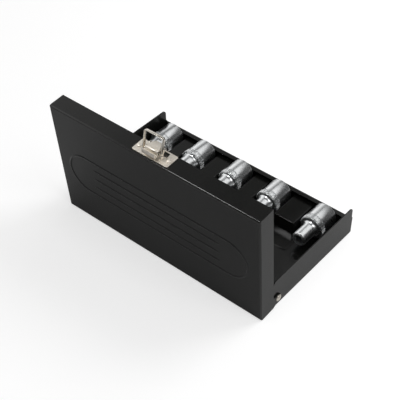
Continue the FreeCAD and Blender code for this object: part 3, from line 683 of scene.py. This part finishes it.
def stacked(levels, low, high, corner):
    """levels: (height, how far the outline is drawn in) from the foot to the top."""
    rings = []
    for z, draw_in in levels:
        inner_low = (low[0] + draw_in, low[1] + draw_in)
        inner_high = (high[0] - draw_in, high[1] - draw_in)
        outline = rounded_rectangle(inner_low, inner_high, max(corner - draw_in, LEAST_CORNER))
        rings.append([(x, y, z) for x, y in outline])
    return skin(rings)


print("a rounded rectangle has", len(rounded_rectangle((0, 0), (10, 10), 1)), "points")

# %% [markdown]
# The last level of each stack lies flat on the top, a little further in than the roll. It keeps the smooth
# shading of the rolled edge from running out over the whole top.

# %% Plate and blocks
PLATE_FLOOR, PLATE_TOP, PLATE_CORNER = 0.8, 1.6, 1.5
PLATE_LOW, PLATE_HIGH = (-95.0, 1.5), (68.46, 48.8)
BLOCK_TOP, BLOCK_CORNER = 13.0, 1.2
BACK, FORE = 19.7, 49.2
BLOCKS = [(-69.9, -58.7), (-34.2, -19.2), (5.3, 19.7), (44.2, 63.1)]
FLARE = [(-0.1, -0.6), (0.02, -0.55), (0.2, -0.2), (0.55, 0)]
DRAFT, ROLL, ROLL_STEPS = 0.15, 0.4, 6
PLATE_EDGE = [(0.25, 0), (0.08, 0.07), (0, 0.25), (0, 0.6)]


def block_levels():
    foot = [(PLATE_TOP + z, draw_in) for z, draw_in in FLARE]
    bends = [math.pi / 2 * k / ROLL_STEPS for k in range(ROLL_STEPS + 1)]
    roll = [(BLOCK_TOP - ROLL * (1 - math.sin(a)), DRAFT + ROLL * (1 - math.cos(a))) for a in bends]
    return foot + roll + [(BLOCK_TOP, 2 * ROLL)]


for number, (left_end, right_end) in enumerate(BLOCKS, 1):
    block = stacked(block_levels(), (left_end, BACK), (right_end, FORE), BLOCK_CORNER)
    stands_for = [f"divider_{number}"]
    settle(block, f"raised_block_{number}", holder_enamel, "case", stands_for, round_angle=50)

plate_levels = [(PLATE_FLOOR, 0)] + [(PLATE_TOP - drop, draw_in) for drop, draw_in in PLATE_EDGE]
plate = stacked(plate_levels, PLATE_LOW, PLATE_HIGH, PLATE_CORNER)
settle(plate, "holder_floor", holder_enamel, "case", ["holder_plate"], round_angle=50)
print("blocks:", len(BLOCKS), "their tops at", BLOCK_TOP, "mm")

# %% [markdown]
# ## Flat metal for the latch
# The latch is blanked from nickel-plated strip. A filled curve suits such blanks: it takes an outline with
# any holes in it, gives it thickness, and rolls its edges a little, where a mesh would need the holes cut.
# It is turned into a mesh once, so that it can be placed upright like any other piece.

# %% Blanks from outlines
STRIP = 0.8
HALF_STRIP = STRIP / 2
X, Y, Z = Vector((1, 0, 0)), Vector((0, 1, 0)), Vector((0, 0, 1))


def blank(outlines, edge=0.13):
    """A flat piece in X and Y, its middle at zero height."""
    curve = bpy.data.curves.new("blank", "CURVE")
    curve.dimensions = "2D"
    curve.fill_mode = "BOTH"
    curve.extrude = HALF_STRIP - edge
    curve.bevel_depth = edge
    curve.bevel_resolution = 2
    for outline in outlines:
        spline = curve.splines.new("POLY")
        spline.points.add(len(outline) - 1)
        for point, (x, y) in zip(spline.points, outline):
            point.co = (x, y, 0, 1)
        spline.use_cyclic_u = True
    curve.offset = -edge
    drawn = bpy.data.objects.new("blank", curve)
    mesh = bpy.data.meshes.new_from_object(drawn)
    bpy.data.objects.remove(drawn)
    bpy.data.curves.remove(curve)
    return mesh


def circle(x, y, radius, count=32):
    steps = [2 * math.pi * k / count for k in range(count)]
    return [(x + radius * math.cos(a), y + radius * math.sin(a)) for a in steps]


def upright(x_way, y_way, z_way, place):
    """A matrix that lays a blank's own axes along the given ways and puts its origin in place."""
    turn = Matrix((x_way, y_way, z_way)).transposed().to_4x4()
    return Matrix.Translation(place) @ turn


def facing_front(y):
    return upright(-X, Z, Y, Vector((0, y, 0)))


def facing_side(x):
    return upright(Y, Z, X, Vector((x, 0, 0)))


print("latch strip", STRIP, "mm")

# %% [markdown]
# ## Rivets and pins
# A rivet is a low dome outside and a clenched tail inside. A squashed sphere would have no rim, so a short
# side view is turned about the rivet's axis instead, as on a lathe.

# %% Turned heads, tails and shanks
def lathe(profile, place, axis, start, sides=40):
    """Turns (radius, height) pairs about an axis through place; start is any way square to that axis."""
    turns = [2 * math.pi * k / sides for k in range(sides)]
    ways = [start * math.cos(a) + axis.cross(start) * math.sin(a) for a in turns]
    return skin([[place + axis * height + way * radius for way in ways] for radius, height in profile])


RIM_SHARE, DOME_STEPS = 0.16, 8
CLENCH = [(0.7, 1), (0.9, 0.85), (1, 0.5), (1, 0)]


def dome(radius, rise):
    """A low domed head with a small flat rim under it."""
    profile = [(radius, 0), (radius, RIM_SHARE * rise)]
    for k in range(1, DOME_STEPS + 1):
        a = math.pi / 2 * k / (DOME_STEPS + 0.5)
        profile.append((radius * math.cos(a), rise * (RIM_SHARE + (1 - RIM_SHARE) * math.sin(a))))
    return profile


def tail(radius, drop):
    """A clenched end with rolled-over edges."""
    return [(radius * width, -drop * depth) for width, depth in CLENCH]


def pair_of_rivets(half_gap, wall, height, head, clench):
    """Two rivets through a strip that lies on a wall; head and clench are each a radius and a height."""
    parts = []
    for x in (-half_gap, half_gap):
        parts.append(lathe(dome(*head), Vector((x, wall + STRIP, height)), Y, X))
        parts.append(lathe(tail(*clench), Vector((x, wall - GAUGE, height)), Y, X))
    return joined(*parts)


print("a domed head has", len(dome(1, 1)), "rings")

# %% [markdown]
# ## The latch plate
# The plate lies on the lid's front skirt, held by two domed rivets. Its two ears are cut free on three sides
# and bent outwards, which leaves a window beside each ear. They carry the pin on which the lever turns. The
# ears are blanks of their own, because they stand square to the plate.

# %% Plate, ears and rivets
PLATE_UPPER, PLATE_HEIGHT, PLATE_HALF, PLATE_ROUND = LID_TOP - 1.9, 12.5, 16.5, 1.2
PIVOT = Vector((0, LID_FRONT + 3.6, LID_TOP - 11.2))
BAIL = Vector((0, LID_FRONT + 3.2, LID_TOP - 6.2))
EAR_IN, EAR_HALF, EAR_ROOT = 6.15, 2.1, LID_FRONT + 0.2
WINDOW, WINDOW_ROUND = 3.9, 0.3
RIVET_X, RIVET_Z = 13.7, LID_TOP - 7.7


def rectangle(left_x, right_x, low_z, high_z, radius):
    return rounded_rectangle((left_x, low_z), (right_x, high_z), radius, steps=4)


base = [rectangle(-PLATE_HALF, PLATE_HALF, PLATE_UPPER - PLATE_HEIGHT, PLATE_UPPER, PLATE_ROUND)]
for sign in (-1, 1):
    inner, outer = sorted((sign * EAR_IN, sign * (EAR_IN + WINDOW)))
    base.append(rectangle(inner, outer, PIVOT.z - EAR_HALF, PIVOT.z + EAR_HALF, WINDOW_ROUND))
on_skirt = swing @ facing_front(LID_FRONT + HALF_STRIP)
settle(blank(base), "latch_base", satin_nickel, "lid", ["latch_plate"], on_skirt)
ear = [(EAR_ROOT, PIVOT.z - EAR_HALF), *arc((PIVOT.y, PIVOT.z), EAR_HALF, -90, 90, count=17)]
ear += [(EAR_ROOT, PIVOT.z + EAR_HALF)]
for sign, name in ((-1, "left"), (1, "right")):
    across = swing @ facing_side(sign * (EAR_IN + HALF_STRIP))
    settle(blank([ear]), f"latch_ear_{name}", bright_nickel, "lid", moved=across)
heads = pair_of_rivets(RIVET_X, LID_FRONT, RIVET_Z, head=(2.2, 1.1), clench=(1.9, 0.7))
settle(heads, "latch_rivet_heads", satin_nickel, "lid", ["latch_rivets"], swing)
print("rivets sit", RIVET_X * 2, "mm apart")

# %% [markdown]
# ## The lever
# The lever starts as a strip bent to a trough for the thumb and then runs flat and narrows towards its
# tail. Two cheeks hang from it and turn on the pin, and the bail's studs sit a little higher in the same
# cheeks. A bent plane would have no thickness to its edge, so the strip is drawn as a ribbon: a line in
# side view with a width at each point.

# %% Ribbons
# Two roundings share a side, and each takes a little under half of it.
SHARED = 2.01


def rounded_line(points, radius, steps=5):
    """The same line with its inner corners rounded."""
    line = [Vector(points[0])]
    for before, corner, after in zip(points, points[1:], points[2:]):
        before, corner, after = Vector(before), Vector(corner), Vector(after)
        one, two = (before - corner).normalized(), (after - corner).normalized()
        reach = min(radius, (before - corner).length / SHARED, (after - corner).length / SHARED)
        for k in range(steps + 1):
            t = k / steps
            line.append(corner + one * reach * (1 - t) ** 2 + two * reach * t**2)
    return line + [Vector(points[-1])]


def ribbon(line, reach, lay, edge=0.14):
    """A closed strip along a line in side view. reach(distance, point) is half its width there, and
    lay(u, v, side) puts a corner in space."""
    rows = []
    gone = 0
    for k, point in enumerate(line):
        gone += (point - line[k - 1]).length if k else 0
        way = (line[min(k + 1, len(line) - 1)] - line[max(k - 1, 0)]).normalized()
        out = Vector((-way.y, way.x))
        half = max(reach(gone, point), edge * 1.2)
        section = [(half, HALF_STRIP - edge), (half - edge, HALF_STRIP)]
        section += [(edge - half, HALF_STRIP), (-half, HALF_STRIP - edge)]
        section += [(-side, -height) for side, height in section]
        spots = [(point + out * height, side) for side, height in section]
        rows.append([lay(spot.x, spot.y, side) for spot, side in spots])
    return skin(rows)


def in_side_view(u, v, side):
    return side, u, v


def in_front_view(u, v, side):
    return u, side, v


def line_length(line):
    return sum((b - a).length for a, b in zip(line, line[1:]))


print("a ribbon has eight corners across")

# %% The lever's strip
FACE = LID_FRONT + 7.0
GRIP_TOP, GRIP_HEIGHT, GRIP_FLOOR = LID_TOP - 1.3, 3.2, LID_FRONT + 2.6
TAPER, TAIL = LID_TOP - 7.6, LID_TOP - 13.4
LEVER_HALF, TIP_HALF = 5.85, 2.9
TIP_START, TIP_NARROWS = 0.8, 0.22
LEVER_CORNER, TAPER_STEPS = 1.0, 8

upper, lower = GRIP_TOP - HALF_STRIP, GRIP_TOP - GRIP_HEIGHT - HALF_STRIP
deep, proud = GRIP_FLOOR + HALF_STRIP, FACE - HALF_STRIP
turns = [(FACE, upper), (deep, upper), (deep, lower), (proud, lower), (proud, TAPER), (proud, TAIL)]
flat = [Vector((proud, TAPER - (TAPER - TAIL) * k / TAPER_STEPS)) for k in range(TAPER_STEPS + 1)]
lever_line = [point for point in rounded_line(turns, LEVER_CORNER) if point.y > TAPER] + flat


def lever_reach(gone, point):
    """Full width down to the taper, then narrowing, with a round tail."""
    if point.y >= TAPER:
        return LEVER_HALF
    share = (TAPER - point.y) / (TAPER - TAIL)
    rounding = max(0, share - TIP_START) / (1 - TIP_START) * TIP_NARROWS
    return (LEVER_HALF + (TIP_HALF - LEVER_HALF) * share) * (1 - rounding)


strip = ribbon(lever_line, lever_reach, in_side_view)
settle(strip, "lever_strip", satin_nickel, "lever", ["latch_lever"], swing, round_angle=45)
print("lever", round(GRIP_TOP - TAIL, 1), "mm long, from", round(line_length(lever_line), 1), "mm of strip")

# %% Cheeks and pin
CHEEK_TOP, CHEEK_FOOT, CHEEK_GAP = 1.3, 1.9, 0.1
PIN, PIN_HOLE, STUD_HOLE = 0.8, 0.85, 0.75
PIN_HEAD, PIN_RISE = 1.35, 0.5
EAR_OUT = EAR_IN + STRIP

cheek_front = FACE - STRIP - CHEEK_GAP
cheek = [(cheek_front, TAPER), (cheek_front, BAIL.z + CHEEK_TOP)]
cheek += arc((BAIL.y, BAIL.z), CHEEK_TOP, 90, 180, count=9)
cheek += arc((PIVOT.y, PIVOT.z), CHEEK_FOOT, 180, 360, count=17)
holes = [circle(PIVOT.y, PIVOT.z, PIN_HOLE), circle(BAIL.y, BAIL.z, STUD_HOLE)]
for sign, name in ((-1, "left"), (1, "right")):
    across = swing @ facing_side(sign * (LEVER_HALF - HALF_STRIP))
    settle(blank([cheek, *holes]), f"lever_cheek_{name}", bright_nickel, "lever", moved=across)
pin = [lathe([(PIN, -EAR_OUT), (PIN, EAR_OUT)], PIVOT, X, Y)]
pin += [lathe(dome(PIN_HEAD, PIN_RISE), PIVOT + way * EAR_OUT, way, Y) for way in (X, -X)]
settle(joined(*pin), "lever_pivot_pin", bright_nickel, "lid", ["lever_pin"], swing)
print("pin", round(2 * EAR_OUT, 1), "mm between its heads")

# %% [markdown]
# ## The bail
# The bail is a flat strap bent to a U, and its closed end hooks under the catch. Each leg ends in a round
# eye with a stud that turns in the lever's cheek. The ribbon draws the strap as well, seen from the front
# this time. It stands away from the lid here, because nothing holds it while the case is open.

# %% Strap and studs
REACH, INSIDE, STRAP_HALF, FOOT = 14.4, 16.2, 1.3, 1.4
STRAP_CORNER, LEAN = 1.6, math.radians(73.8)
EYE_STEP, EYE_STEPS, EYE_TIP, HAIR = 0.2, 7, 0.2, 0.02
STUD, STUD_TIP, STUD_REACH, STUD_ROUND = 0.7, 0.62, 4.75, 0.1
STUD_HEAD, STUD_RISE = 1.05, 0.35

leg = INSIDE / 2 + HALF_STRIP
bends = rounded_line([(leg, FOOT), (leg, -REACH), (-leg, -REACH), (-leg, FOOT)], STRAP_CORNER)
eye = [Vector((leg, FOOT - HAIR - EYE_STEP * k)) for k in range(1, EYE_STEPS + 1)]
other_eye = [Vector((-point.x, point.y)) for point in reversed(eye)]
strap_line = [bends[0], *eye, *bends[1:-1], *other_eye, bends[-1]]
whole = line_length(strap_line)


def strap_reach(gone, point):
    """A half-round end on each leg."""
    left_over = min(gone, whole - gone)
    if left_over >= STRAP_HALF:
        return STRAP_HALF
    return math.sqrt(max(STRAP_HALF**2 - (STRAP_HALF - left_over) ** 2, EYE_TIP**2))


parts = [ribbon(strap_line, strap_reach, in_front_view)]
stud = [(STUD_TIP, STUD_REACH), (STUD, STUD_REACH + STUD_ROUND), (STUD, leg)]
for way in (X, -X):
    parts.append(lathe(stud, Vector(), way, Y))
    parts.append(lathe(dome(STUD_HEAD, STUD_RISE), way * (leg + HALF_STRIP - HAIR), way, Y))
bail_at = swing @ Matrix.Translation(BAIL) @ Matrix.Rotation(LEAN, 4, "X")
strap = joined(*parts)
settle(strap, "bail_strap", bright_nickel, "bail", ["latch_bail"], bail_at, round_angle=45)
print("strap", round(whole, 1), "mm before bending")

# %% [markdown]
# ## The catch
# A second small plate is riveted on the tray's front. Its upper edge is turned out and down as a hook, and
# the bail closes under it. Blank, ribbon and rivets draw it, as they did the latch.

# %% Plate, hook and rivets
CATCH_HALF, CATCH_FOOT, CATCH_ROUND = 13, 1.8, 1.2
HOOK_TOP, HOOK_TIP, HOOK_OUT, HOOK_HALF = 10.14, 8.44, 56.7, 6.2
HOOK_ROOT, HOOK_CORNER = FRONT + 0.2, 0.9
CATCH_RIVET_X, CATCH_RIVET_Z = 9.5, 5

base = [rectangle(-CATCH_HALF, CATCH_HALF, CATCH_FOOT, HOOK_TOP, CATCH_ROUND)]
on_front = facing_front(FRONT + HALF_STRIP)
settle(blank(base), "catch_base", satin_nickel, "case", ["catch_plate"], on_front)
upper = HOOK_TOP - HALF_STRIP
hook_line = rounded_line([(HOOK_ROOT, upper), (HOOK_OUT, upper), (HOOK_OUT, HOOK_TIP)], HOOK_CORNER)
hook = ribbon(hook_line, lambda gone, point: HOOK_HALF, in_side_view)
settle(hook, "catch_hook", bright_nickel, "case", round_angle=45)
heads = pair_of_rivets(CATCH_RIVET_X, FRONT, CATCH_RIVET_Z, head=(1.9, 0.9), clench=(1.7, 0.6))
settle(heads, "catch_rivet_heads", satin_nickel, "case", ["catch_rivets"])
print("hook", round(HOOK_OUT - FRONT, 1), "mm out")

# %% [markdown]
# ## Hinge rivets
# The lid turns on two domed rivets. Their heads show outside the ears, and their clenched tails inside the
# tray. A neck joins the two, so that no rivet falls apart when the lid's ear swings round it.

# %% Domed heads and tails
HEAD, HEAD_RISE, HEAD_GAP = 2.8, 1.1, 0.1
NECK, NECK_LENGTH = 1.5, 2.2
TAIL_WIDTH, TAIL_DROP = 2.4, 0.8

for way, name in ((-X, "left"), (X, "right")):
    place = Vector((0, HINGE.y, HINGE.z))
    inside_wall = place + way * (SIDE - GAUGE)
    head = lathe(dome(HEAD, HEAD_RISE), place + way * (LID_SIDE + HEAD_GAP), way, Y)
    neck = lathe([(NECK, 0), (NECK, NECK_LENGTH)], inside_wall, way, Y)
    clench = lathe(tail(TAIL_WIDTH, TAIL_DROP), inside_wall, way, Y)
    rivet = joined(head, neck, clench)
    settle(rivet, f"hinge_head_{name}", satin_nickel, "case", [f"hinge_rivet_{name}"])
print("hinge rivets at", tuple(HINGE))

# %% [markdown]
# ## Studio
# The object stands on a white floor with no horizon. A floor lit to white by lamps alone would need so much
# light that the object washed out. This one is a plain diffuse surface that also shines for the camera, so
# it reads as white and still keeps the shadow. For every other ray it only reflects: pale under the object,
# so that light comes back up into it, and darker further out, so that black enamel stays black.

# %% Floor
FLOOR_GLOW, SEEN_SHADE, NEAR_SHADE, FAR_SHADE = 0.61, 0.5, 0.61, 0.12
NEAR, FAR = 0.3, 0.75
FLOOR_HALF, FLOOR_DROP = 4, 0.0002


def shining_floor():
    finish = Finish("studio_floor", Roughness=1.0, Specular_IOR_Level=0.0, Emission_Strength=1.0)
    gone = finish.add("ShaderNodeVectorMath", {"operation": "LENGTH"}, {0: finish.place()}, output="Value")
    spread = finish.glide(gone, NEAR, FAR, NEAR_SHADE, FAR_SHADE)
    seen = finish.ray("Camera")
    shade = seen * SEEN_SHADE + (1 - seen) * spread
    return finish.feed(Base_Color=finish.grey(shade), Emission_Color=finish.grey(seen * FLOOR_GLOW))


ends = (-FLOOR_HALF, FLOOR_HALF)
sheet = mesh_of([(x, y, 0) for x in ends for y in ends], [(0, 2, 3, 1)])
floor = bpy.data.objects.new("studio_floor", sheet)
floor.data.materials.append(shining_floor())
floor.location.z = -FLOOR_DROP
bpy.context.scene.collection.objects.link(floor)
print("floor shines", FLOOR_GLOW, "for the camera")

# %% [markdown]
# The world is white for the camera, so that no horizon shows. In reflections it is a bright wall on the
# left and a dim room elsewhere, because black enamel and chrome need something dark beside something
# bright. To everything else it gives one soft, even light.

# %% World
ROOM, WALL, SOFT, WHITE = 0.07, 1.1, 0.38, 1
WALL_WAY = (-0.95, 0.0, -0.3)
WALL_START, WALL_FULL = 0.12, 0.62


def studio_world():
    world = bpy.data.worlds.new("studio")
    bpy.context.scene.world = world
    world.use_nodes = True
    net = Net(world.node_tree)
    background = net.tree.nodes["Background"]
    ways = {0: net.add("ShaderNodeTexCoord", output="Generated"), 1: WALL_WAY}
    lean = net.add("ShaderNodeVectorMath", {"operation": "DOT_PRODUCT"}, ways, output="Value")
    mirrored = net.glide(lean, WALL_START, WALL_FULL, ROOM, WALL)
    seen = net.ray("Camera") + net.ray("Transmission")
    strength = net.ray("Glossy") * (mirrored - SOFT) + seen * (WHITE - SOFT) + SOFT
    net.plug(background.inputs["Strength"], strength)
    background.inputs["Color"].default_value = (1, 1, 1, 1)


studio_world()
print("the room is", ROOM, "and its wall", WALL)

# %% [markdown]
# Two soft lamps, at the back and on the right, light the case and draw the chrome. The small one on the left
# is there only for its glint along the folds, so it lights nothing else. The fill at the back is the other
# way round: it lights, but shows in no reflection.

# %% Lamps
def softbox(name, way, distance, size, power):
    lamp = bpy.data.lights.new(name, "AREA")
    lamp.shape = "RECTANGLE"
    lamp.size, lamp.size_y = size
    lamp.energy = power
    box = bpy.data.objects.new(name, lamp)
    box.location = Vector(way).normalized() * distance
    box.rotation_mode = "QUATERNION"
    box.rotation_quaternion = (-box.location).to_track_quat("-Z", "Y")
    bpy.context.scene.collection.objects.link(box)
    return box


glint = softbox("left_softbox", way=(-0.27, -0.3, 0.84), distance=1.2, size=(0.36, 0.2), power=4)
glint.visible_diffuse = False
softbox("back_softbox", way=(0.15, 0.57, 0.8), distance=1.1, size=(1.05, 0.5), power=1.7)
softbox("right_softbox", way=(0.55, -0.1, 0.83), distance=1.2, size=(0.5, 0.5), power=3)
fill = softbox("back_fill", way=(0.3, 0.55, 0.7), distance=1.4, size=(0.6, 0.6), power=6)
fill.visible_glossy = False
print("lamps:", len(bpy.data.lights))

# %% [markdown]
# ## Camera
# A long lens from behind and to the right, well above the lid. A short lens from nearby would spread the
# case out and make its near corner loom.

# %% Camera
CAMERA_AT, AIM = Vector((354.0, -444.7, 541.1)) * MM, Vector((7.6, -27.5, 39.0)) * MM
LENS, SENSOR = 87.39, 36

camera_data = bpy.data.cameras.new("camera")
camera_data.sensor_width = SENSOR
camera_data.lens = LENS
camera = bpy.data.objects.new("camera", camera_data)
camera.location = CAMERA_AT
camera.rotation_mode = "QUATERNION"
camera.rotation_quaternion = (AIM - CAMERA_AT).to_track_quat("-Z", "Y")
bpy.context.scene.collection.objects.link(camera)
bpy.context.scene.camera = camera
bpy.context.scene.view_settings.view_transform = "Standard"
print("camera", [round(v / MM) for v in CAMERA_AT], "mm, lens", LENS)

# %% [markdown]
# ## End
# Nothing follows the camera: the scene is left as it stands.
